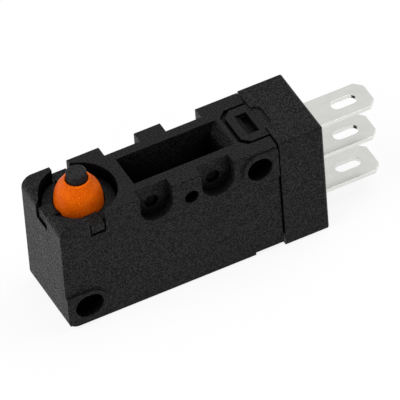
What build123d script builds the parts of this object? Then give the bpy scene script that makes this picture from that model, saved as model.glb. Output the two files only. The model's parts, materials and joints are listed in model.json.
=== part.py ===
from build123d import *
import os
from math import cos, pi, radians, sin, tan

# Sealed miniature snap-action switch with a pin plunger under a rubber boot.
#
# Frame: the origin is on the lower mounting hole's axis, halfway through the body.
# +X runs towards the terminals, +Z is the way the plunger stands, +Y is the back face.
# All lengths are in millimetres.

# ------------------------------------------------------------------ mounting pattern
hole_pitch_x = 22.2
hole_pitch_z = 10.3
hole_r = 1.55
hole_stretch = 0.4  # the lower hole is a short slot along X
pad_r = 2.1  # raised ring round each hole
pad_proud = 0.25  # pads and end cover stand this far out of the front face

# ------------------------------------------------------------------ moulded housing
body_t = 10.05
body_len = 27.3
body_h = 15.65
body_end = 2.7  # plunger end face to the lower hole
body_below = 2.9  # bottom face to the lower hole
body_corner_r = 1.4
body_edge_cut = 0.15

# Chamber for the mechanism, open at the terminal end.
chamber_w = 6.4
floor_wall = 1.2
chamber_top = 7.2
roof_wall = 1.2  # between the chamber and the boot pocket
hole_wall = 1.0  # wall round the lower hole, inside the chamber
bay_wall = 1.3  # end wall beyond the bay under the plunger
spigot_len = 2.0
spigot_wall = 0.65

# Round pocket for the boot, with three notches for the retainer's tabs.
pocket_r = 4.5
front_notch_w = 1.95
back_notch_w = 2.2
notch_rise = 1.65  # floor of a side notch above the pocket's floor
end_notch_w = 2.7
end_notch_rise = 1.4
guide_wall = 0.55
guide_rise = 1.5

# Rectangular recess in the top face.
recess_start = 7.9
recess_len = 11.8
recess_w = 4.6
recess_roof = 0.75  # between the chamber and the recess
recess_lead_x = 0.85
recess_lead_z = 1.45

# Pockets in both side faces that a clip-on lever hooks into.
clip_first_x = 9.35
clip_pitch = 7.75
clip_r = 2.05
clip_depth = 1.5
back_clip_r = 2.25
back_clip_depth = 1.65
clip_centre_z = 10.75
clip_hole_r = 0.85
clip_hole_depth = 0.6
core_hole_x = 13.7
core_hole_z = 10.05
core_hole_r = 0.87
core_hole_depth = 1.2

# ------------------------------------------------------------------ end cover
cover_len = 5.55
cover_floor_wall = 0.45
cover_top_wall = 0.9
cover_top_proud = 0.25
cover_edge_cut = 0.2
spigot_clear = 0.1
seam_gap = 0.15
web_t = 0.8
resin_depth = 1.0
resin_dip = 0.15
tongue_w = 5.7
tongue_len = 3.2
tongue_t = 0.45
tongue_corner = 0.9
tongue_side_gap = 0.3
tongue_tip_gap = 0.5
bed_clear = 0.05
window_w = 3.4
window_start = 1.05  # from the tongue's tip
window_len = 1.45
catch_len = 0.55
catch_rise = 0.42
catch_clear = 0.1
catch_pocket = 0.5  # sink behind the top catch
relief_w = 3.6
relief_len = 1.0
relief_corner = 0.5

# ------------------------------------------------------------------ plunger and boot
plunger_to_upper_hole = 20.2
plunger_r = 1.2
plunger_rise = 7.4  # tip above the pocket's floor
plunger_edge_cut = 0.2
groove_r = 1.05
groove_drop = 1.1  # groove's top below the tip
groove_h = 0.6
collar_r = 1.7
collar_h = 0.75
nub_r = 0.8
nub_tip_r = 0.4
guide_clear = 0.05
stop_clear = 0.05

boot_r = 2.82
boot_wall = 0.5
boot_flange_r = 3.9
boot_flange_t = 0.8
boot_straight_h = 3.2
boot_shoulder_r = 2.42
boot_shoulder_h = 5.0
boot_lip_r = 1.5
boot_inner_drop = 0.55  # how far the inside sinks below the outside, over each step in
boot_stem_clear = 0.1
lip_clear = 0.02

retainer_t = 2.0
retainer_bore_clear = 0.15
retainer_clear = 0.3
tab_rise = 0.3  # tabs above the ring
tab_floor_gap = 0.3
tab_side_gap = 0.17
tab_inset = 0.05
end_tab_side_gap = 0.35
end_tab_inset = 0.2

# ------------------------------------------------------------------ terminals and contacts
strip_t = 0.5
blade_w = 4.3
common_w = 4.8
blade_reach = 8.4
blade_tip_cut = 0.9
blade_slot_len = 3.2
blade_slot_w = 1.55
blade_slot_back = 3.2  # slot centre to the blade's tip
bend_r = 0.4
common_z = 0.05
open_blade_z = 5.15
closed_blade_z = 9.9
contact_setback = 7.5  # contacts before the base's head
contact_gap = 0.65
contact_rest_gap = 0.02
contact_head_r = 1.2
contact_head_t = 0.5
contact_crown = 0.12
contact_shank_r = 0.55
contact_upset_r = 0.85
contact_upset_t = 0.18
contact_end = 1.3  # fixed strip beyond its rivet
moving_head_t = 0.45
common_start = 4.0
fit_clear = 0.1

# ------------------------------------------------------------------ snap mechanism
arm_z = 4.55
arm_t = 0.3
arm_w = 3.2
arm_window_w = 2.2
arm_pivot_x = 5.2
arm_lug = 0.4
arm_lug_reach = 2.6
arm_root_x = 13.0
arm_tip_over = 1.3

pin_x = 8.0
pin_z = 6.3
pin_r = 0.4
pin_clear = 0.04

bracket_t = 0.4
bracket_w = 5.4
bracket_start = 4.3
bracket_len = 6.4
bracket_floor_t = 0.5
bracket_post_w = 1.5
bracket_post_cap = 0.55
notch_clear = 0.06
notch_half_angle = 32

lever_top = 5.5
lever_t = 0.35
lever_plate_t = 0.3
lever_w = 4.3
lever_end_x = 0.7
lever_plate_end_x = 4.3
lever_eye_r = 0.62
lever_rest_gap = 0.03
lever_cheek_low = 5.75
lever_cheek_high = 6.35
lever_cheek_lap = 1.05  # along the plate
lever_cheek_step = 0.175  # slope from the plate up to the cheek's lower edge
lever_web_t = 0.3
lever_web_w = 1.7
lever_web_drop = 1.15

spring_r = 0.7
spring_wire_r = 0.11
spring_wire_sides = 6
spring_turn_steps = 11
spring_turns = 7
spring_start_x = 5.8
spring_end_x = 12.4
spring_z = 4.9
spring_hole_r = 0.25
spring_tail = 0.45
spring_hook_x = 13.6

rivet_r = 0.45
rivet_head_r = 0.75
rivet_head_t = 0.3
rivet_pitch = 2.6
rivet_x = 7.0

base_head_t = 1.4
base_block_len = 5.5
base_play = 0.1
base_floor_play = 0.05
base_start_x = 3.2
seal_t = 0.4

# ------------------------------------------------------------------ modelling allowances
overrun = 1.0  # how far a cut runs past the face it opens
tiny = 1e-6
fuse_tolerance = 1e-4

# ------------------------------------------------------------------ places worked out from the sizes
back_y = (body_t + pad_proud) / 2
front_y = back_y - body_t
pad_y = -back_y
left = -body_end
seam_x = left + body_len
bottom = -body_below
top = bottom + body_h
upper_hole = (hole_pitch_x, hole_pitch_z)
plunger_x = hole_pitch_x - plunger_to_upper_hole

chamber_floor = bottom + floor_wall
hole_boss_r = hole_r + hole_wall
chamber_left = hole_boss_r + hole_stretch / 2
bay_floor = hole_boss_r
spigot_end = seam_x + spigot_len
spigot_half = chamber_w / 2 + spigot_wall

pocket_floor = chamber_top + roof_wall
flange_top = pocket_floor + boot_flange_t
retainer_top = flange_top + retainer_t
plunger_tip = pocket_floor + plunger_rise
groove_top = plunger_tip - groove_drop
groove_low = groove_top - groove_h
guide_r = plunger_r + guide_clear
recess_end = recess_start + recess_len
recess_floor = chamber_top + recess_roof

# Notches round the boot pocket: turn about the plunger, width, rise of the floor, run to the
# outer face, then the retainer tab's gap at each side and its inset from that face.
notches = (
    (180, end_notch_w, end_notch_rise, plunger_x - left, end_tab_side_gap, end_tab_inset),
    (-90, front_notch_w, notch_rise, -front_y, tab_side_gap, tab_inset),
    (90, back_notch_w, notch_rise, back_y, tab_side_gap, tab_inset),
)

cover_start = seam_x + seam_gap
cover_end = cover_start + cover_len
cover_top = top + cover_top_proud
resin_x = cover_end - resin_depth
web_x = resin_x - web_t
cover_half = spigot_half + spigot_clear
cover_ceiling = cover_top - cover_top_wall
cover_floor = bottom + cover_floor_wall
tongue_tip = seam_x - tongue_len + seam_gap
tongue_low = top - tongue_t
bed_floor = tongue_low - bed_clear
catch_low = tongue_tip + window_start + catch_clear
catch_high = catch_low + catch_len
catch_half = window_w / 2 - catch_clear

collar_top = chamber_top - stop_clear
collar_low = collar_top - collar_h
head_x = spigot_end + seal_t
head_end = head_x + base_head_t
jog_x = head_x + base_head_t / 2
blade_tip = cover_end + blade_reach
contact_x = head_x - contact_setback

arm_top = arm_z + arm_t / 2
arm_low = arm_z - arm_t / 2
closed_face_z = arm_top + moving_head_t + contact_rest_gap
closed_strip_z = closed_face_z + contact_head_t + strip_t / 2
open_face_z = arm_low - moving_head_t - contact_rest_gap - contact_gap
open_strip_z = open_face_z - contact_head_t - strip_t / 2
common_top = common_z + strip_t / 2
bracket_floor_top = common_top + bracket_floor_t
rivet_head_top = bracket_floor_top + rivet_head_t

lever_low = lever_top - lever_plate_t
nub_low = lever_top + lever_rest_gap


# ------------------------------------------------------------------ shared shapes
def span(x0, x1, y0, y1, z0, z1):
    """A block between two opposite corners."""
    centre = Pos((x0 + x1) / 2, (y0 + y1) / 2, (z0 + z1) / 2)
    return centre * Box(x1 - x0, y1 - y0, z1 - z0)


def rect(x0, x1, z0, z1):
    """A rectangle between two opposite corners of an outline."""
    return Pos((x0 + x1) / 2, (z0 + z1) / 2) * Rectangle(x1 - x0, z1 - z0)


def side_plate(outline, y0, y1):
    """An outline seen from the front, made solid between two depths."""
    return extrude(Pos(0, y1, 0) * (Plane.XZ * outline), y1 - y0)


def top_plate(outline, z0, z1):
    """An outline seen from above, made solid between two heights."""
    return extrude(Pos(0, 0, z0) * outline, z1 - z0)


def polygon(*points):
    """A face with straight sides."""
    return make_face(Polyline(*points, close=True))


def both_sides(solid):
    """A solid and its mirror image on the other side face."""
    return solid + mirror(solid, about=Plane.XZ)


def sunk(outline, depth, back):
    """An outline cut to a depth into the back face, or else into the front face."""
    if back:
        return side_plate(outline, back_y - depth, back_y + overrun)
    return side_plate(outline, pad_y - overrun, front_y + depth)


def bar(angle, width, reach, z0, z1):
    """A bar that runs outwards from the plunger's axis, turned about it by an angle."""
    return Pos(plunger_x, 0, 0) * Rot(0, 0, angle) * span(0, reach, -width / 2, width / 2, z0, z1)


def turned(outline, x):
    """A half profile of (radius, height) spun about a vertical axis at x."""
    return Pos(x, 0, 0) * revolve(Plane.XZ * outline, axis=Axis.Z)


def bent_strip(points, width):
    """A flat strip of sheet metal bent along a route in the XZ plane."""
    path = FilletPolyline(*[(x, 0, z) for x, z in points], radius=bend_r)
    start = Plane(origin=path @ 0, x_dir=(0, 1, 0), z_dir=path % 0)
    return sweep(start * Rectangle(width, strip_t), path=path)


def wire(route):
    """Spring wire through points, with few sides because it is so thin."""
    path = Polyline(*route)
    start = Plane(origin=path @ 0, z_dir=path.edges()[0] % 0)
    section = start * RegularPolygon(spring_wire_r, spring_wire_sides)
    return sweep(section, path=path, transition=Transition.RIGHT)


# ------------------------------------------------------------------ housing
def body_outline():
    """The housing seen from the front, rounded at the plunger end."""
    outline = rect(left, seam_x, bottom, top)
    return fillet(outline.vertices().sort_by(Axis.X)[:2], body_corner_r)


def clip_outline(x, r):
    """A pocket with a round bottom, open at the top face."""
    return Pos(x, clip_centre_z) * Circle(r) + rect(x - r, x + r, clip_centre_z, top)


def tongue_outline(tip, half):
    """A cover tongue or its bed seen from above, with chamfered corners."""
    outline = rect(tip, cover_start + relief_len, -half, half)
    return chamfer(outline.vertices().sort_by(Axis.X)[:2], tongue_corner)


def catch(level, rise):
    """A ramp that a tongue's window snaps over, standing up or, with a negative rise, down."""
    ramp = polygon((catch_low, level), (catch_low, level + rise), (catch_high, level))
    return side_plate(ramp, -catch_half, catch_half)


def make_housing():
    """The case: one moulding with every pocket, bed and hole cut into it."""
    outline = body_outline()
    body = side_plate(outline, front_y, back_y)
    rims = [e for y in (front_y, back_y) for e in body.edges().filter_by_position(Axis.Y, y, y)]
    body = chamfer([e for e in rims if e.center().X < seam_x - tiny], body_edge_cut)

    # Raised pads on the front: a ring round each hole, run out to the nearest end of the body.
    pads = SlotCenterToCenter(hole_stretch, 2 * pad_r) + rect(left, 0, -pad_r, pad_r)
    pads += Pos(*upper_hole) * Circle(pad_r)
    pads += rect(hole_pitch_x, seam_x, hole_pitch_z - pad_r, hole_pitch_z + pad_r)
    body += side_plate(outline & pads, pad_y, front_y + pad_proud)

    # Spigot that enters the end cover.
    spigot_top = chamber_top + spigot_wall
    spigot_low = chamber_floor - spigot_wall
    body += span(seam_x - spigot_wall, spigot_end, -spigot_half, spigot_half, spigot_low, spigot_top)

    # Chamber, stepped up over the lower hole to make the bay under the plunger.
    chamber = polygon(
        (spigot_end, chamber_floor),
        (chamber_left, chamber_floor),
        (chamber_left, bay_floor),
        (left + bay_wall, bay_floor),
        (left + bay_wall, chamber_top),
        (spigot_end, chamber_top),
    )
    body -= side_plate(chamber, -chamber_w / 2, chamber_w / 2)

    # Boot pocket with its tab notches, and the sleeve that guides the plunger.
    body -= top_plate(Pos(plunger_x, 0) * Circle(pocket_r), pocket_floor, top + overrun)
    for angle, width, rise, run, _, _ in notches:
        body -= bar(angle, width, run + overrun, pocket_floor + rise, top + overrun)
    sleeve = Circle(guide_r + guide_wall)
    body += top_plate(Pos(plunger_x, 0) * sleeve, pocket_floor, pocket_floor + guide_rise)
    body -= top_plate(Pos(plunger_x, 0) * Circle(guide_r), bay_floor, pocket_floor + guide_rise)

    # Rectangular recess in the top, with a lead-in at its terminal end.
    recess = polygon(
        (recess_start, top + overrun),
        (recess_start, recess_floor),
        (recess_end, recess_floor),
        (recess_end, top - recess_lead_z),
        (recess_end + recess_lead_x, top),
        (recess_end + recess_lead_x, top + overrun),
    )
    body -= side_plate(recess, -recess_w / 2, recess_w / 2)

    # Clip pockets with their locating holes, and the core hole between them.
    core = Pos(core_hole_x, core_hole_z) * Circle(core_hole_r)
    for back, r, depth in ((False, clip_r, clip_depth), (True, back_clip_r, back_clip_depth)):
        body -= sunk(core, core_hole_depth, back)
        for x in (clip_first_x, clip_first_x + clip_pitch):
            hole = Pos(x, hole_pitch_z) * Circle(clip_hole_r)
            body -= sunk(clip_outline(x, r), depth, back) + sunk(hole, depth + clip_hole_depth, back)

    # Beds for the cover's two tongues, with the catches they snap over.
    bed_start = tongue_tip - tongue_tip_gap
    lower_bed = bottom + tongue_t + bed_clear
    bed_half = tongue_w / 2 + tongue_side_gap
    body -= top_plate(tongue_outline(bed_start, bed_half), bed_floor, top + overrun)
    body -= span(bed_start, seam_x, pad_y, back_y, bottom - overrun, lower_bed)
    window_end = tongue_tip + window_start + window_len
    body -= span(catch_high, window_end, -catch_half, catch_half, bed_floor - catch_pocket, top)
    body += catch(bed_floor, catch_rise) + catch(lower_bed, -catch_rise)

    # Mounting holes through both faces.
    body -= side_plate(SlotCenterToCenter(hole_stretch, 2 * hole_r), pad_y, back_y)
    body -= side_plate(Pos(*upper_hole) * Circle(hole_r), pad_y, back_y)
    return body


# ------------------------------------------------------------------ terminals
def blade_cut(width):
    """What the stamping takes from the end of a blade: its slot and both corners."""
    slot = Pos(blade_tip - blade_slot_back, 0) * SlotOverall(blade_slot_len, blade_slot_w)
    half = width / 2
    cut = blade_tip_cut
    for side in (-1, 1):
        slot += polygon(
            (blade_tip - cut, side * half),
            (blade_tip, side * (half - cut)),
            (blade_tip + cut, side * (half - cut)),
            (blade_tip + cut, side * (half + cut)),
            (blade_tip - cut, side * (half + cut)),
        )
    return top_plate(slot, bottom, top)


def rivet_hole(x, y, r):
    """A vertical hole through the stampings."""
    return Pos(x, y, 0) * Cylinder(r, 2 * body_h)


def make_fixed_terminal(strip_z, blade_z):
    """A strip that carries a fixed contact and jogs up to its blade outside."""
    start = (contact_x - contact_end, strip_z)
    route = (start, (jog_x, strip_z), (jog_x, blade_z), (blade_tip, blade_z))
    strip = bent_strip(route, blade_w) - blade_cut(blade_w)
    return strip - rivet_hole(contact_x, 0, contact_shank_r)


def bracket_rivet_places():
    """Where the bracket is riveted to the common strip."""
    return [(rivet_x, side * rivet_pitch / 2) for side in (-1, 1)]


def common_strip():
    """The flat common strip before its slot, corners and holes are stamped."""
    half = common_w / 2
    return span(common_start, blade_tip, -half, half, common_z - strip_t / 2, common_top)


def make_common_terminal():
    """The lowest blade, whose flat strip carries the pivot bracket."""
    strip = common_strip() - blade_cut(common_w)
    for x, y in bracket_rivet_places():
        strip -= rivet_hole(x, y, rivet_r)
    return strip


# ------------------------------------------------------------------ contacts
def crowned_head(face, back, r):
    """A contact head from its crowned face to its flat back, as a half profile."""
    rim = face + contact_crown if back > face else face - contact_crown
    return polygon((0, face), (r / 2, face), (r, rim), (r, back), (0, back))


def make_fixed_contact(face, direction):
    """A contact rivet set through a fixed strip; direction is +1 where it faces down."""
    back = face + direction * contact_head_t
    far = back + direction * strip_t
    upset = far + direction * contact_upset_t
    low, high = sorted((back, far))
    low_cap, high_cap = sorted((far, upset))
    profile = crowned_head(face, back, contact_head_r)
    profile += rect(0, contact_shank_r, low, high)
    profile += rect(0, contact_upset_r, low_cap, high_cap)
    return turned(profile, contact_x)


def make_moving_contact():
    """A double-faced contact set through the arm."""
    profile = crowned_head(arm_top + moving_head_t, arm_top, contact_head_r)
    profile += crowned_head(arm_low - moving_head_t, arm_low, contact_head_r)
    profile += rect(0, contact_shank_r, arm_low, arm_top)
    return turned(profile, contact_x)


# ------------------------------------------------------------------ snap mechanism
def make_contact_arm():
    """A forked arm that rocks on two lugs and carries the moving contact."""
    tip = contact_x + arm_tip_over
    half = arm_w / 2
    start = arm_pivot_x - arm_lug / 2
    plan = rect(start, tip - half, -half, half) + Pos(tip - half, 0) * Circle(half)
    plan += rect(start, start + arm_lug, -arm_lug_reach, arm_lug_reach)
    plan -= rect(start - overrun, arm_root_x, -arm_window_w / 2, arm_window_w / 2)
    plan -= Pos(spring_hook_x, 0) * Circle(spring_hole_r)
    plan -= Pos(contact_x, 0) * Circle(contact_shank_r)
    return top_plate(plan, arm_low, arm_top)


def pivot_notch():
    """The V in each bracket post that the arm's lugs rock in."""
    apex = arm_pivot_x - arm_lug / 2 - notch_clear
    reach = 2 * bracket_post_w
    rise = reach * tan(radians(notch_half_angle))
    mouth = arm_t / 2 + notch_clear
    return polygon(
        (apex, arm_z - mouth),
        (apex + reach, arm_z - mouth - rise),
        (apex + reach, arm_z + mouth + rise),
        (apex, arm_z + mouth),
    )


def make_pivot_bracket():
    """A folded bracket: a floor, two notched posts and two posts for the lever pin."""
    half = bracket_w / 2
    end = bracket_start + bracket_len
    floor = span(bracket_start, end, -half, half, common_top, bracket_floor_top)
    for x, y in bracket_rivet_places():
        floor -= rivet_hole(x, y, rivet_r)
    lug_post_top = arm_top + 2 * notch_clear + bracket_t
    lug_post = rect(bracket_start, bracket_start + bracket_post_w, common_top, lug_post_top)
    lug_post -= pivot_notch()
    pin_post = rect(pin_x - bracket_post_w / 2, pin_x + bracket_post_w / 2, common_top, pin_z)
    pin_post += Pos(pin_x, pin_z) * Circle(bracket_post_cap)
    pin_post += rect(pin_x - bracket_post_cap, pin_x + bracket_post_cap, common_top, pin_z)
    waist = pin_z - bracket_post_w
    pin_post -= rect(pin_x + bracket_post_cap, pin_x + bracket_post_w, waist, pin_z + overrun)
    pin_post -= rect(pin_x - bracket_post_w, pin_x - bracket_post_cap, waist, pin_z + overrun)
    pin_post -= Pos(pin_x, pin_z) * Circle(pin_r)
    cheeks = both_sides(side_plate(lug_post + pin_post, half - bracket_t, half))
    return floor + cheeks


def make_actuating_lever():
    """A channel-shaped lever that hangs on the pin and reaches under the plunger."""
    half = lever_w / 2
    plate = span(lever_end_x, lever_plate_end_x, -half, half, lever_low, lever_top)
    cheek_start = lever_plate_end_x - lever_cheek_lap
    cheek = polygon(
        (cheek_start, lever_low),
        (lever_plate_end_x, lever_low),
        (lever_plate_end_x + lever_cheek_step, lever_cheek_low),
        (pin_x, lever_cheek_low),
        (pin_x, lever_cheek_high),
        (lever_plate_end_x, lever_cheek_high),
        (cheek_start, lever_top),
    )
    cheek += Pos(pin_x, pin_z) * Circle(lever_eye_r)
    cheek -= Pos(pin_x, pin_z) * Circle(pin_r + pin_clear)
    lever = plate + both_sides(side_plate(cheek, half - lever_t, half))
    web_half = lever_web_w / 2
    web_x = lever_plate_end_x - lever_web_t
    web = span(web_x, lever_plate_end_x, -web_half, web_half, lever_top - lever_web_drop, lever_top)
    hole = Pos(web_x, 0, spring_z) * Rot(0, 90, 0) * Cylinder(spring_hole_r, lever_web_t + overrun)
    return lever + (web - hole)


def make_lever_pin():
    """A plain pin, as long as the bracket is wide."""
    return Pos(pin_x, 0, pin_z) * Rot(90, 0, 0) * Cylinder(pin_r, bracket_w)


def make_snap_spring():
    """A tension spring hooked from the lever's web to the arm beyond its window."""
    length = spring_end_x - spring_start_x
    steps = spring_turns * spring_turn_steps
    route = []
    for step in range(steps + 1):
        turn = 2 * pi * step / spring_turn_steps
        along = spring_start_x + length * step / steps
        route.append((along, spring_r * sin(turn), spring_z + spring_r * cos(turn)))
    coil = wire(route)
    coil_top = spring_z + spring_r
    web_side = lever_plate_end_x - lever_web_t - spring_tail
    lever_route = (
        (spring_start_x, 0, coil_top),
        (spring_start_x, 0, spring_z),
        (web_side, 0, spring_z),
        (web_side, 0, spring_z - spring_tail),
    )
    arm_route = (
        (spring_end_x, 0, coil_top),
        (spring_hook_x, 0, coil_top),
        (spring_hook_x, 0, arm_low - spring_tail),
    )
    return coil.fuse(wire(lever_route), wire(arm_route), tol=fuse_tolerance)


def make_bracket_rivets():
    """Two rivets that hold the bracket down, spread flush under the common strip."""
    rivets = []
    for x, y in bracket_rivet_places():
        place = Pos(x, y)
        rivet = top_plate(place * Circle(rivet_r), common_z - strip_t / 2, bracket_floor_top)
        rivets.append(rivet + top_plate(place * Circle(rivet_head_r), bracket_floor_top, rivet_head_top))
    return Compound(children=rivets)


# ------------------------------------------------------------------ moulded base, cover and seals
def make_contact_base(terminals):
    """The moulding that the three terminals are set in."""
    inner_half = chamber_w / 2 - base_play
    low = chamber_floor + base_floor_play
    block_x = head_x - base_block_len
    base = span(block_x, head_x, -inner_half, inner_half, low, chamber_top - base_play)
    base += span(base_start_x, block_x, -inner_half, inner_half, low, common_top)
    head_half = cover_half - base_play
    base += span(head_x, head_end, -head_half, head_half, cover_floor + base_play, cover_ceiling - base_play)
    for terminal in terminals:
        base -= terminal
    return base


def make_cover_seal():
    """A flat gasket between the spigot's end and the base's head."""
    spigot = rect(-spigot_half, spigot_half, chamber_floor - spigot_wall, chamber_top + spigot_wall)
    ring = spigot - rect(-chamber_w / 2, chamber_w / 2, chamber_floor, chamber_top)
    return extrude(Pos(spigot_end, 0, 0) * (Plane.YZ * ring), seal_t)


def blade_slits(clear):
    """The three blades' passages through the end of the cover."""
    slits = []
    for z, width in ((common_z, common_w), (open_blade_z, blade_w), (closed_blade_z, blade_w)):
        half = width / 2 + clear
        thick = strip_t / 2 + clear
        slits.append(span(web_x - overrun, cover_end + overrun, -half, half, z - thick, z + thick))
    return slits


def resin_well(end):
    """The well in the cover's end that the sealing resin fills, as far out as an end."""
    return span(resin_x, end, -cover_half, cover_half, chamber_floor, cover_ceiling)


def make_end_cover():
    """A cap over the terminal end, held by a tongue with a window above and another below."""
    cover = span(cover_start, cover_end, pad_y, back_y, bottom, cover_top)
    outer = cover.edges().filter_by(lambda e: e.center().X > cover_start + tiny)
    cover = chamfer(outer, cover_edge_cut)
    hollow_x = cover_start - overrun
    cover -= span(hollow_x, web_x, -cover_half, cover_half, cover_floor, cover_ceiling)
    cover -= resin_well(cover_end + overrun)
    for slit in blade_slits(fit_clear):
        cover -= slit

    # The two tongues with their windows, and the relief where the top one runs into the cover.
    half = relief_w / 2
    relief = rect(cover_start - overrun, cover_start + relief_len, -half, half)
    relief = chamfer(relief.vertices().sort_by(Axis.X)[2:], relief_corner)
    cover -= top_plate(relief, top, cover_top + overrun)
    tongue = tongue_outline(tongue_tip, tongue_w / 2)
    window_x = tongue_tip + window_start
    window = rect(window_x, window_x + window_len, -window_w / 2, window_w / 2)
    cover += top_plate(tongue - window, tongue_low, top)
    cover += top_plate(tongue - window, bottom, bottom + tongue_t)
    return cover


def make_sealing_resin():
    """Resin poured round the blades in the cover's end, a little below its rim."""
    resin = resin_well(cover_end - resin_dip)
    for slit in blade_slits(0):
        resin -= slit
    return resin


# ------------------------------------------------------------------ plunger, boot and retainer
def make_plunger():
    """Pin with a groove for the boot's lip, a stop collar and a coned nub below."""
    profile = rect(0, plunger_r, collar_low, groove_low)
    profile += rect(0, groove_r, groove_low, groove_top)
    tip = rect(0, plunger_r, groove_top, plunger_tip)
    rim = tip.vertices().group_by(Axis.Y)[-1].sort_by(Axis.X)[-1]
    profile += chamfer(rim, plunger_edge_cut)
    profile += rect(0, collar_r, collar_low, collar_top)
    nub_side = nub_low + nub_r - nub_tip_r
    profile += polygon(
        (0, nub_low),
        (nub_tip_r, nub_low),
        (nub_r, nub_side),
        (nub_r, collar_low),
        (0, collar_low),
    )
    return turned(profile, plunger_x)


def make_rubber_boot():
    """A thin dome with a clamped flange at its foot and a lip round the plunger."""
    lip_in = groove_r + lip_clear
    lip_top = groove_top - lip_clear
    lip_low = groove_low + lip_clear
    outside = [
        (boot_r, pocket_floor + boot_straight_h),
        (boot_shoulder_r, pocket_floor + boot_shoulder_h),
    ]
    inside = [(r - boot_wall, z - boot_inner_drop * (boot_r - r)) for r, z in reversed(outside)]
    return turned(
        polygon(
            (boot_flange_r, pocket_floor),
            (boot_flange_r, flange_top),
            (boot_r, flange_top),
            *outside,
            (boot_lip_r, lip_top),
            (lip_in, lip_top),
            (lip_in, lip_low),
            (plunger_r + boot_stem_clear, lip_low),
            *inside,
            (boot_r - boot_wall, pocket_floor),
        ),
        plunger_x,
    )


def make_boot_retainer():
    """A ring that clamps the boot's flange, with three tabs in the housing's notches."""
    bore_r = boot_r + retainer_bore_clear
    tabs = []
    for angle, width, rise, run, side_gap, inset in notches:
        low = pocket_floor + rise + tab_floor_gap
        tabs.append(bar(angle, width - 2 * side_gap, run - inset, low, retainer_top + tab_rise))
    well = Pos(plunger_x, 0) * Circle(bore_r + boot_wall)
    ring = top_plate(Pos(plunger_x, 0) * Circle(pocket_r - retainer_clear), flange_top, retainer_top)
    ring += Compound(tabs) - top_plate(well, retainer_top, plunger_tip)
    return ring - top_plate(Pos(plunger_x, 0) * Circle(bore_r), pocket_floor, plunger_tip)


# ------------------------------------------------------------------ the whole switch
def make_parts():
    """Every node's name with its shape."""
    closed_terminal = make_fixed_terminal(closed_strip_z, closed_blade_z)
    open_terminal = make_fixed_terminal(open_strip_z, open_blade_z)
    return {
        "housing": make_housing(),
        "end_cover": make_end_cover(),
        "cover_seal": make_cover_seal(),
        "sealing_resin": make_sealing_resin(),
        "contact_base": make_contact_base((closed_terminal, open_terminal, common_strip())),
        "boot_retainer": make_boot_retainer(),
        "rubber_boot": make_rubber_boot(),
        "plunger": make_plunger(),
        "common_terminal": make_common_terminal(),
        "normally_open_terminal": open_terminal,
        "normally_closed_terminal": closed_terminal,
        "normally_open_contact": make_fixed_contact(open_face_z, -1),
        "normally_closed_contact": make_fixed_contact(closed_face_z, 1),
        "moving_contact": make_moving_contact(),
        "contact_arm": make_contact_arm(),
        "actuating_lever": make_actuating_lever(),
        "lever_pin": make_lever_pin(),
        "pivot_bracket": make_pivot_bracket(),
        "bracket_rivets": make_bracket_rivets(),
        "snap_spring": make_snap_spring(),
    }


def main():
    """Writes one file for each node."""
    os.makedirs("parts", exist_ok=True)
    for name, shape in make_parts().items():
        export_step(shape, f"parts/{name}.step")


main()
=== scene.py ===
import json
from math import cos, pi, radians, sin

import bmesh
import bpy
from mathutils import Matrix, Vector


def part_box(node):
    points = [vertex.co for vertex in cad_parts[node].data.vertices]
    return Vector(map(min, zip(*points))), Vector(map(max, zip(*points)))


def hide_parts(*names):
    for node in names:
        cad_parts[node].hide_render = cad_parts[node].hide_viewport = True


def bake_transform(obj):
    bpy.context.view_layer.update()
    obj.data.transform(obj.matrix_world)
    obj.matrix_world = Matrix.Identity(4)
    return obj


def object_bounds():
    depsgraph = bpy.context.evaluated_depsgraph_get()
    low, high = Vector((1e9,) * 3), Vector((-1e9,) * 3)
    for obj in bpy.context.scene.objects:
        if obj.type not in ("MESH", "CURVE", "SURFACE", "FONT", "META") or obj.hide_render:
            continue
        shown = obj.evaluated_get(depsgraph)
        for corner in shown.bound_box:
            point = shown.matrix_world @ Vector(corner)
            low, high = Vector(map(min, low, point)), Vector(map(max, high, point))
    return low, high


# The looks of the micro switch: a finish for every piece, the rubber boot and the snap spring in
# their round forms, and a plain white studio. Sizes, outlines and routes on the switch are in
# millimetres, and MM turns them to metres where they are used. The studio round it is in metres.

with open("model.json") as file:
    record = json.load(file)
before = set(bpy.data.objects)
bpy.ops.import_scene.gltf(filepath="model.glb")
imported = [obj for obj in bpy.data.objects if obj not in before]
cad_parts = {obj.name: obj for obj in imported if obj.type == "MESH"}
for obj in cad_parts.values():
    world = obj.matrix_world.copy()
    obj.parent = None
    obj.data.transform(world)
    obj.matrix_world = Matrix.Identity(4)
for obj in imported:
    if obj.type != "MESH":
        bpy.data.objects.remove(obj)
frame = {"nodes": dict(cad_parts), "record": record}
nodes = frame["nodes"]
cad_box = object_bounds()
MM = 0.001


# ---------------------------------------------------------------- shader building
def grey(level):
    """A neutral colour."""
    return (level, level, level)


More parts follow.
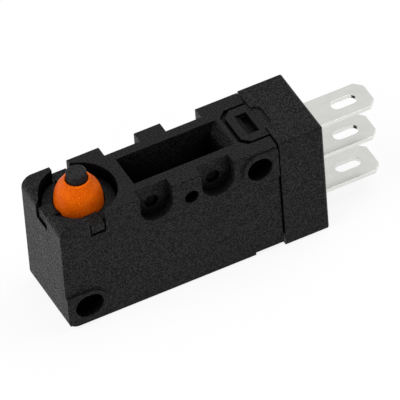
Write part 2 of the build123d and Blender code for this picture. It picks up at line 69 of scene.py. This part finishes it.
class Finish:
    """A material under construction, with short calls for the nodes it needs."""

    shade_samples = 12  # rays that measure how open a place is
    edge_samples = 6  # rays that round an edge

    def __init__(self, name):
        self.material = bpy.data.materials.new(name)
        self.material.use_nodes = True
        self.tree = self.material.node_tree
        self.shader = self.tree.nodes["Principled BSDF"]
        self.place = self.tree.nodes.new("ShaderNodeTexCoord").outputs["Object"]

    def set(self, **sockets):
        """Constants on the shader's own sockets; underscores stand for spaces."""
        for name, value in sockets.items():
            self.shader.inputs[name.replace("_", " ")].default_value = value

    def link(self, output, input_name):
        """An output led to one of the shader's sockets."""
        self.tree.links.new(output, self.shader.inputs[input_name])

    def feed(self, value, socket):
        """Links an output to a socket, or sets the socket to a plain value."""
        if isinstance(value, bpy.types.NodeSocket):
            self.tree.links.new(value, socket)
        else:
            socket.default_value = value

    def noise(self, size_mm, detail=3, roughness=0.55, stretch=(1, 1, 1)):
        """Noise whose blotches are about size_mm across, and shorter along an axis with more stretch."""
        mapping = self.tree.nodes.new("ShaderNodeMapping")
        mapping.inputs["Scale"].default_value = stretch
        self.tree.links.new(self.place, mapping.inputs["Vector"])
        node = self.tree.nodes.new("ShaderNodeTexNoise")
        node.inputs["Scale"].default_value = 1 / (size_mm * MM)
        node.inputs["Detail"].default_value = detail
        node.inputs["Roughness"].default_value = roughness
        self.tree.links.new(mapping.outputs["Vector"], node.inputs["Vector"])
        return node.outputs["Fac"]

    def between(self, source, low, high, start=0.3, end=0.7):
        """A value that goes from low to high while its source goes from start to end.

        The usual start and end are where nearly all of a noise lies.
        """
        node = self.tree.nodes.new("ShaderNodeMapRange")
        spread = {"Value": source, "From Min": start, "From Max": end, "To Min": low, "To Max": high}
        for name, value in spread.items():
            self.feed(value, node.inputs[name])
        return node.outputs["Result"]

    def times(self, first, second):
        """The product of two values."""
        node = self.tree.nodes.new("ShaderNodeMath")
        node.operation = "MULTIPLY"
        self.tree.links.new(first, node.inputs[0])
        self.tree.links.new(second, node.inputs[1])
        return node.outputs[0]

    def ramp(self, source, *stops):
        """A colour ramp through (position, colour) stops."""
        node = self.tree.nodes.new("ShaderNodeValToRGB")
        band = node.color_ramp
        while len(band.elements) < len(stops):
            band.elements.new(0.5)
        for element, (position, colour) in zip(band.elements, stops):
            element.position = position
            element.color = (*colour, 1)
        self.tree.links.new(source, node.inputs["Fac"])
        return node.outputs["Color"]

    def mixed(self, share, under, over):
        """A colour with a share of another over it; either may be a plain colour."""
        node = self.tree.nodes.new("ShaderNodeMix")
        node.data_type = "RGBA"
        sockets = {socket.name: socket for socket in node.inputs if socket.enabled}
        self.feed(share, sockets["Factor"])
        for colour, name in ((under, "A"), (over, "B")):
            self.feed((*colour, 1) if isinstance(colour, tuple) else colour, sockets[name])
        return [socket for socket in node.outputs if socket.enabled][0]

    def along(self, axis):
        """0 on a face square to an axis, rising to 1 on one that runs along it."""
        normal = self.tree.nodes.new("ShaderNodeNewGeometry").outputs["Normal"]
        split = self.tree.nodes.new("ShaderNodeSeparateXYZ")
        self.tree.links.new(normal, split.inputs["Vector"])
        square = self.tree.nodes.new("ShaderNodeMath")
        square.operation = "ABSOLUTE"
        self.tree.links.new(split.outputs[axis], square.inputs[0])
        return self.between(square.outputs[0], 1.0, 0.0, start=0.2, end=0.9)

    def openness(self, reach_mm):
        """1 out in the open, falling to 0 deep in a hole or slot.

        Walls that run along Y, as in the side pockets, reach 0 a little sooner, so the shade painted with
        it is deeper on those walls.
        """
        node = self.tree.nodes.new("ShaderNodeAmbientOcclusion")
        node.samples = self.shade_samples
        node.inputs["Distance"].default_value = reach_mm * MM
        shut = self.between(self.along("Y"), 0.27, 0.36, start=0.0, end=1.0)
        clear = 0.6
        return self.between(node.outputs["AO"], 0.0, 1.0, start=shut, end=clear)

    def relief(self, *layers, edge_mm=0.0):
        """Bump layers of (height source, depth in mm, strength), over softly rounded edges."""
        normal = None
        if edge_mm:
            edge = self.tree.nodes.new("ShaderNodeBevel")
            edge.samples = self.edge_samples
            edge.inputs["Radius"].default_value = edge_mm * MM
            normal = edge.outputs["Normal"]
        for source, depth_mm, strength in layers:
            bump = self.tree.nodes.new("ShaderNodeBump")
            bump.inputs["Distance"].default_value = depth_mm * MM
            self.feed(strength, bump.inputs["Strength"])
            self.tree.links.new(source, bump.inputs["Height"])
            if normal:
                self.tree.links.new(normal, bump.inputs["Normal"])
            normal = bump.outputs["Normal"]
        self.link(normal, "Normal")


# ---------------------------------------------------------------- the switch's finishes
def grained_case():
    """Black glass-filled moulding with a fine spark-eroded grain, and painted shade in its holes, pockets
    and slots.
    """
    finish = Finish("grained case plastic")
    finish.set(Specular_IOR_Level=0.085)
    grain = finish.noise(0.15, detail=2, roughness=0.6)
    cloud = finish.noise(2.4, detail=2)
    open_air = finish.openness(reach_mm=5.0)
    speckle = finish.ramp(grain, (0.4, grey(0.0005)), (0.5, grey(0.002)), (0.6, grey(0.027)))
    # Painted shade: the colour fades to black as the openness falls, in holes, pockets and slots, and
    # soonest on the side pockets' walls.
    finish.link(finish.mixed(open_air, grey(0), speckle), "Base Color")

    dullness = finish.between(cloud, 0.4, 0.46)
    glints = finish.between(grain, 1.4, 0.55, start=0.38, end=0.62)
    finish.link(finish.times(dullness, glints), "Roughness")

    grain_strength = finish.between(open_air, 0.1, 0.9, start=0.0, end=1.0)
    pebble = finish.noise(0.32, detail=1, stretch=(1, 0.4, 1))  # coarser grain, mainly on the ends
    pebble_strength = finish.between(finish.along("X"), 1.0, 0.15, start=0.0, end=1.0)
    finish.relief(
        (pebble, 0.15, pebble_strength),
        (grain, 0.04, grain_strength),
        (cloud, 0.03, 0.15),
        edge_mm=0.12,
    )
    return finish.material


def smooth_pin():
    """Dark grey moulding, smooth from sliding."""
    finish = Finish("plunger plastic")
    finish.set(Specular_IOR_Level=0.08)
    fine = finish.noise(0.15, detail=2)
    rings = finish.noise(0.5, detail=2, stretch=(1, 1, 6))
    finish.link(finish.ramp(fine, (0.36, grey(0.004)), (0.64, grey(0.026))), "Base Color")
    finish.link(finish.between(rings, 0.42, 0.54), "Roughness")
    finish.relief((fine, 0.008, 0.3), edge_mm=0.08)
    return finish.material


def boot_silicone():
    """Orange silicone with a satin skin, a little light in its depth and painted glints in bright specks.
    """
    finish = Finish("boot silicone")
    finish.set(
        Subsurface_Weight=0.1,
        Subsurface_Scale=0.4 * MM,
        Subsurface_Radius=(1.0, 0.35, 0.08),
        Specular_IOR_Level=0.3,
        Specular_Tint=(1.0, 0.5, 0.05, 1),
    )
    bloom = finish.noise(1.3, detail=3)
    dust_and_glints = finish.noise(0.16, detail=2, roughness=0.65)
    dark_share = finish.between(dust_and_glints, 0.6, 0.0, start=0.3, end=0.45)
    # Painted glints: bright yellow-orange specks put into the colour; the dark specks are speckle of the
    # rubber.
    painted_glint_share = finish.between(dust_and_glints, 0.0, 0.9, start=0.55, end=0.75)
    tone = finish.ramp(bloom, (0.3, (0.6, 0.075, 0.001)), (0.7, (0.72, 0.11, 0.001)))
    tone = finish.mixed(dark_share, tone, (0.42, 0.045, 0.001))
    tone = finish.mixed(painted_glint_share, tone, (0.95, 0.24, 0.008))
    finish.link(tone, "Base Color")
    finish.link(finish.between(dust_and_glints, 0.36, 0.5), "Roughness")
    finish.relief((dust_and_glints, 0.02, 0.4), (bloom, 0.03, 0.1))
    return finish.material


def gasket_rubber():
    """Dull black sheet rubber."""
    finish = Finish("gasket rubber")
    fine = finish.noise(0.1, detail=3)
    finish.link(finish.ramp(fine, (0.3, grey(0.012)), (0.7, grey(0.025))), "Base Color")
    finish.link(finish.between(fine, 0.6, 0.75), "Roughness")
    finish.relief((fine, 0.01, 0.3))
    return finish.material


def poured_resin():
    """Glossy epoxy that has settled with slow ripples."""
    finish = Finish("poured epoxy")
    ripples = finish.noise(1.8, detail=1)
    fine = finish.noise(0.2, detail=2)
    tone = finish.ramp(fine, (0.3, (0.012, 0.012, 0.013)), (0.7, (0.02, 0.02, 0.021)))
    finish.link(tone, "Base Color")
    finish.link(finish.between(ripples, 0.12, 0.22), "Roughness")
    finish.relief((ripples, 0.12, 0.35), (fine, 0.01, 0.1))
    return finish.material


def rolled_metal(name, dark, light, rough, edge_mm, painted_side_highlight=None):
    """Metal with faint rolling lines along X, cloudy tarnish and, where given, a painted highlight: paler
    side faces.
    """
    finish = Finish(name)
    finish.set(Metallic=1.0)
    rough_spread = 0.06
    lines = finish.noise(0.09, detail=3, stretch=(0.06, 1, 1))
    tarnish = finish.noise(1.6, detail=3)
    tone = finish.ramp(tarnish, (0.3, dark), (0.7, light))
    tone = finish.mixed(finish.between(lines, 0.0, 0.25), tone, light)
    # Painted highlight: upright faces, such as the blades' sides, take a paler colour.
    if painted_side_highlight:
        tone = finish.mixed(finish.along("Z"), tone, painted_side_highlight)
    finish.link(tone, "Base Color")
    finish.link(finish.between(lines, rough - rough_spread, rough + rough_spread), "Roughness")
    finish.relief((lines, 0.006, 0.3), (tarnish, 0.02, 0.1), edge_mm=edge_mm)
    return finish.material


finishes = {
    "case_plastic": grained_case(),
    "plunger_plastic": smooth_pin(),
    "boot_rubber": boot_silicone(),
    "seal_rubber": gasket_rubber(),
    "resin": poured_resin(),
    "plated_brass": rolled_metal(
        "silver-plated brass",
        dark=(0.6, 0.605, 0.575),
        light=(0.65, 0.655, 0.63),
        rough=0.19,
        edge_mm=0.06,
        # the paler colour painted on the blades' sides as a highlight
        painted_side_highlight=(0.74, 0.74, 0.72),
    ),
    "contact_silver": rolled_metal(
        "contact silver", dark=(0.80, 0.79, 0.76), light=(0.9, 0.89, 0.87), rough=0.22, edge_mm=0.05
    ),
    "spring_copper": rolled_metal(
        "spring copper", dark=(0.62, 0.33, 0.17), light=(0.78, 0.47, 0.28), rough=0.3, edge_mm=0.05
    ),
    "steel": rolled_metal(
        "bright steel", dark=(0.46, 0.45, 0.44), light=(0.6, 0.6, 0.59), rough=0.3, edge_mm=0.04
    ),
}


def dress(piece, slot):
    """Gives a piece one finish in place of what it came with."""
    piece.data.materials.clear()
    piece.data.materials.append(finishes[slot])


def smooth_piece(name, mesh):
    """A smooth-shaded object in the scene."""
    for polygon in mesh.polygons:
        polygon.use_smooth = True
    piece = bpy.data.objects.new(name, mesh)
    bpy.context.scene.collection.objects.link(piece)
    return piece


# ---------------------------------------------------------------- rubber boot
def smooth_run(points, steps=6):
    """A smooth run through points, by Catmull-Rom pieces."""

    def between_two(before, start, end, after, t):
        slope = end - before
        bend = 2 * before - 5 * start + 4 * end - after
        turn = 3 * start - before - 3 * end + after
        return 0.5 * (2 * start + slope * t + bend * t * t + turn * t ** 3)

    run = []
    padded = [points[0], *points, points[-1]]
    for quad in zip(padded, padded[1:], padded[2:], padded[3:]):
        for step in range(steps):
            run.append(tuple(between_two(*four, step / steps) for four in zip(*quad)))
    return run + [points[-1]]


def lathe(name, outline, axis_x, sides=96):
    """A closed outline of (radius, height), spun about a vertical axis; axis_x is in metres."""
    form = bmesh.new()
    rings = []
    for turn in range(sides):
        angle = 2 * pi * turn / sides
        rings.append([
            form.verts.new((axis_x + r * MM * cos(angle), r * MM * sin(angle), z * MM))
            for r, z in outline
        ])
    count = len(outline)
    for turn in range(sides):
        here, there = rings[turn], rings[(turn + 1) % sides]
        for step in range(count):
            after = (step + 1) % count
            form.faces.new((here[step], there[step], there[after], here[after]))
    bmesh.ops.recalc_face_normals(form, faces=form.faces)
    mesh = bpy.data.meshes.new(name)
    form.to_mesh(mesh)
    form.free()
    return smooth_piece(name, mesh)


def boot_outline(foot, lip):
    """The boot's section: a ring that is clamped down, a thin barrel, a round shoulder and a rolled lip.

    Heights on the barrel are taken up from the foot, and those at the top down from the lip.
    """
    ring_r, ring_h, ring_edge = 3.9, 0.8, 0.1
    barrel_bore_r = 2.32
    lip_r, lip_bore_r, lip_drop = 1.5, 1.3, 0.02
    ring = [
        (barrel_bore_r, foot),
        (ring_r - ring_edge, foot),
        (ring_r, foot + ring_edge),
        (ring_r, foot + ring_h - ring_edge),
        (ring_r - ring_edge, foot + ring_h),
    ]
    barrel = [(2.84, foot + ring_h), (2.85, foot + 2.2), (2.83, foot + 3.1), (2.76, foot + 3.8)]
    shoulder = [(2.63, foot + 4.4), (2.42, foot + 4.95), (2.1, foot + 5.42), (1.84, foot + 5.75)]
    neck = [(1.68, lip - 0.26), (1.62, lip - 0.14), (lip_r, lip - lip_drop)]
    roll = [(lip_r, lip - lip_drop), (1.4, lip), (1.32, lip - 0.04)]
    lip_bore = [(lip_bore_r, lip - 0.2), (lip_bore_r, lip - 0.5)]
    inner_shoulder = [(1.32, lip - 0.56), (1.75, foot + 5.1), (2.1, foot + 4.6), (2.24, foot + 4.0)]
    inner_barrel = [(2.31, foot + 3.2), (barrel_bore_r, foot + 2.4), (barrel_bore_r, foot + 0.2)]
    return [
        *ring,
        *smooth_run(barrel + shoulder + neck),
        *smooth_run(roll + lip_bore, steps=4)[1:],
        *smooth_run(inner_shoulder + inner_barrel),
    ]


def rubber_boot():
    """The silicone boot, held in the case at its ring and carried by the plunger at its lip."""
    low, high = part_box("rubber_boot")
    foot, lip = low.z / MM, high.z / MM
    axis_x = (low.x + high.x) / 2
    boot = lathe("boot", boot_outline(foot, lip), axis_x)
    dress(boot, "boot_rubber")
    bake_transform(boot)
    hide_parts("rubber_boot")


# ---------------------------------------------------------------- snap spring
def wire_tree():
    """Nodes that round the corners of a route and skin it with closed round wire."""
    tree = bpy.data.node_groups.new("round wire", "GeometryNodeTree")
    for name, kind in (
        ("Route", "NodeSocketGeometry"),
        ("Wire radius", "NodeSocketFloat"),
        ("Bend radius", "NodeSocketFloat"),
        ("Sides", "NodeSocketInt"),
        ("Finish", "NodeSocketMaterial"),
    ):
        tree.interface.new_socket(name, in_out="INPUT", socket_type=kind)
    tree.interface.new_socket("Wire", in_out="OUTPUT", socket_type="NodeSocketGeometry")

    def add(kind, **links):
        node = tree.nodes.new(kind)
        for name, source in links.items():
            tree.links.new(source, node.inputs[name.replace("_", " ")])
        return node

    given = add("NodeGroupInput").outputs
    bends = add("GeometryNodeFilletCurve", Curve=given["Route"], Radius=given["Bend radius"])
    bends.mode = "POLY"
    ring = add("GeometryNodeCurvePrimitiveCircle", Resolution=given["Sides"], Radius=given["Wire radius"])
    curves = {"Curve": bends.outputs["Curve"], "Profile_Curve": ring.outputs["Curve"]}
    skin = add("GeometryNodeCurveToMesh", **curves)
    skin.inputs["Fill Caps"].default_value = True
    whole = add("GeometryNodeRealizeInstances", Geometry=skin.outputs["Mesh"])
    painted = add("GeometryNodeSetMaterial", Geometry=whole.outputs["Geometry"], Material=given["Finish"])
    add("NodeGroupOutput", Wire=painted.outputs["Geometry"])
    return tree


def wire_along(name, route, tree, **sizes):
    """A plain mesh of wire that follows a route."""
    path = bpy.data.curves.new(name, "CURVE")
    path.dimensions = "3D"
    line = path.splines.new("POLY")
    line.points.add(len(route) - 1)
    for point, place in zip(line.points, route):
        point.co = (*(MM * c for c in place), 1)
    guide = bpy.data.objects.new(name + " route", path)
    bpy.context.scene.collection.objects.link(guide)
    wire = guide.modifiers.new("wire", "NODES")
    wire.node_group = tree
    for item in tree.interface.items_tree:
        if item.name in sizes:
            wire[item.identifier] = sizes[item.name]
    shown = bpy.context.evaluated_depsgraph_get()
    mesh = bpy.data.meshes.new_from_object(guide.evaluated_get(shown), depsgraph=shown)
    bpy.data.objects.remove(guide)
    return smooth_piece(name, mesh)


def snap_spring():
    """The tension spring in two halves, one for the lever's end and one for the arm's end."""
    low, high = (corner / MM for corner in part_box("snap_spring"))
    wire_r, wire_sides, bend_r = 0.11, 10, 0.12
    coil_r, coil_start, coil_end = 0.7, 5.8, 12.4
    turns, turn_steps = 7, 24
    hook_drop, hook_lead = 0.45, 0.15  # the lever's hook: how far down, and how far from the coil
    coil_top = high.z - wire_r
    axis_z = coil_top - coil_r
    lever_x, arm_x = low.x + wire_r, high.x - wire_r

    steps = turns * turn_steps
    coil = []
    for step in range(steps + 1):
        angle = 2 * pi * step / turn_steps
        along = coil_start + (coil_end - coil_start) * step / steps
        coil.append((along, coil_r * sin(angle), axis_z + coil_r * cos(angle)))
    middle = steps // 2
    lever_hook = [
        (lever_x, 0, axis_z - hook_drop),
        (lever_x, 0, axis_z),
        (coil_start - hook_lead, 0, axis_z),
    ]
    arm_hook = [(arm_x, 0, coil_top), (arm_x, 0, low.z)]

    tree = wire_tree()
    sizes = {
        "Wire radius": wire_r * MM,
        "Bend radius": bend_r * MM,
        "Sides": wire_sides,
        "Finish": finishes["steel"],
    }
    for body, end_x, route in (
        ("lever", low.x, lever_hook + coil[: middle + 1]),
        ("arm", high.x, coil[middle:] + arm_hook),
    ):
        half = wire_along(f"snap_spring_{body}_end", route, tree, **sizes)
        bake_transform(half)
        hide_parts("snap_spring")


# ---------------------------------------------------------------- floor, light and camera
def seen_directly(tree):
    """1 for rays that show a surface: straight, mirrored or through something clear."""
    ray = tree.nodes.new("ShaderNodeLightPath")
    shown = ray.outputs["Is Camera Ray"]
    for kind in ("Is Glossy Ray", "Is Transmission Ray"):
        either = tree.nodes.new("ShaderNodeMath")
        either.operation = "MAXIMUM"
        tree.links.new(shown, either.inputs[0])
        tree.links.new(ray.outputs[kind], either.inputs[1])
        shown = either.outputs[0]
    return shown


def table_finish():
    """White laminate that is seen nearly plain, with a trace of shadow."""
    glow_share = 0.87  # of what is seen; the rest is lit paint, which takes the shadow
    material = bpy.data.materials.new("white table")
    material.use_nodes = True
    tree = material.node_tree
    paint = tree.nodes["Principled BSDF"]
    paint.inputs["Base Color"].default_value = (*grey(0.9), 1)
    paint.inputs["Roughness"].default_value = 0.9
    glow = tree.nodes.new("ShaderNodeEmission")
    glow.inputs["Strength"].default_value = 1.0
    share = tree.nodes.new("ShaderNodeMath")
    share.operation = "MULTIPLY"
    share.inputs[1].default_value = glow_share
    tree.links.new(seen_directly(tree), share.inputs[0])
    mix = tree.nodes.new("ShaderNodeMixShader")
    tree.links.new(share.outputs[0], mix.inputs["Fac"])
    tree.links.new(paint.outputs[0], mix.inputs[1])
    tree.links.new(glow.outputs[0], mix.inputs[2])
    tree.links.new(mix.outputs[0], tree.nodes["Material Output"].inputs["Surface"])
    return material


def white_table():
    """A round table top just under the switch."""
    table_r, sides, gap_mm = 1.5, 64, 0.02
    top = cad_box[0][2] - gap_mm * MM
    angles = [2 * pi * k / sides for k in range(sides)]
    form = bmesh.new()
    form.faces.new([form.verts.new((table_r * cos(a), table_r * sin(a), top)) for a in angles])
    mesh = bpy.data.meshes.new("table")
    form.to_mesh(mesh)
    form.free()
    mesh.materials.append(table_finish())
    table = bpy.data.objects.new("table", mesh)
    bpy.context.scene.collection.objects.link(table)


def white_surroundings():
    """Full white where the surroundings are seen, softer where they light."""
    lit_level, seen_level = 0.4, 1.0
    world = bpy.data.worlds.new("studio")
    bpy.context.scene.world = world
    world.use_nodes = True
    tree = world.node_tree
    backdrop = tree.nodes["Background"]
    backdrop.inputs["Color"].default_value = (*grey(1), 1)
    level = tree.nodes.new("ShaderNodeMapRange")
    level.inputs["To Min"].default_value = lit_level
    level.inputs["To Max"].default_value = seen_level
    tree.links.new(seen_directly(tree), level.inputs["Value"])
    tree.links.new(level.outputs["Result"], backdrop.inputs["Strength"])


def soft_box(name, place, size, power):
    """A square soft lamp pointed at the middle of the case; its power is in watts."""
    aim = Vector((0.015, 0, 0.006))
    data = bpy.data.lights.new(name, "AREA")
    data.size = size
    data.energy = power
    lamp = bpy.data.objects.new(name, data)
    lamp.location = place
    lamp.rotation_euler = (aim - Vector(place)).to_track_quat("-Z", "Y").to_euler()
    bpy.context.scene.collection.objects.link(lamp)


def long_lens_camera():
    """A long lens from the front, left and above, rolled a little."""
    place = Vector((-0.26989, -0.65266, 0.69157))
    forward = Vector((0.28945, 0.65894, -0.69427)).normalized()
    roll = radians(-4.78)
    data = bpy.data.cameras.new("camera")
    data.lens = 788.3
    data.sensor_width = 36
    data.clip_start = 0.05
    data.clip_end = 20
    level_right = forward.cross(Vector((0, 0, 1))).normalized()
    level_up = level_right.cross(forward)
    right = level_right * cos(roll) + level_up * sin(roll)
    up = level_up * cos(roll) - level_right * sin(roll)
    camera = bpy.data.objects.new("camera", data)
    turned = Matrix((right, up, -forward)).transposed().to_4x4()
    camera.matrix_world = Matrix.Translation(place) @ turned
    bpy.context.scene.collection.objects.link(camera)
    bpy.context.scene.camera = camera


# ---------------------------------------------------------------- the whole scene
for part in frame["record"]["subparts"]:
    dress(nodes[part["node"]], part["material_slot"])
rubber_boot()
snap_spring()

white_table()
white_surroundings()
soft_box("left box", (-0.45, -0.05, 0.42), size=0.35, power=2.0)
soft_box("top box", (0.25, 0.02, 0.5), size=0.4, power=1.5)
soft_box("front box", (-0.22, -0.32, 0.22), size=0.3, power=0.25)
long_lens_camera()
bpy.context.scene.view_settings.view_transform = "Standard"
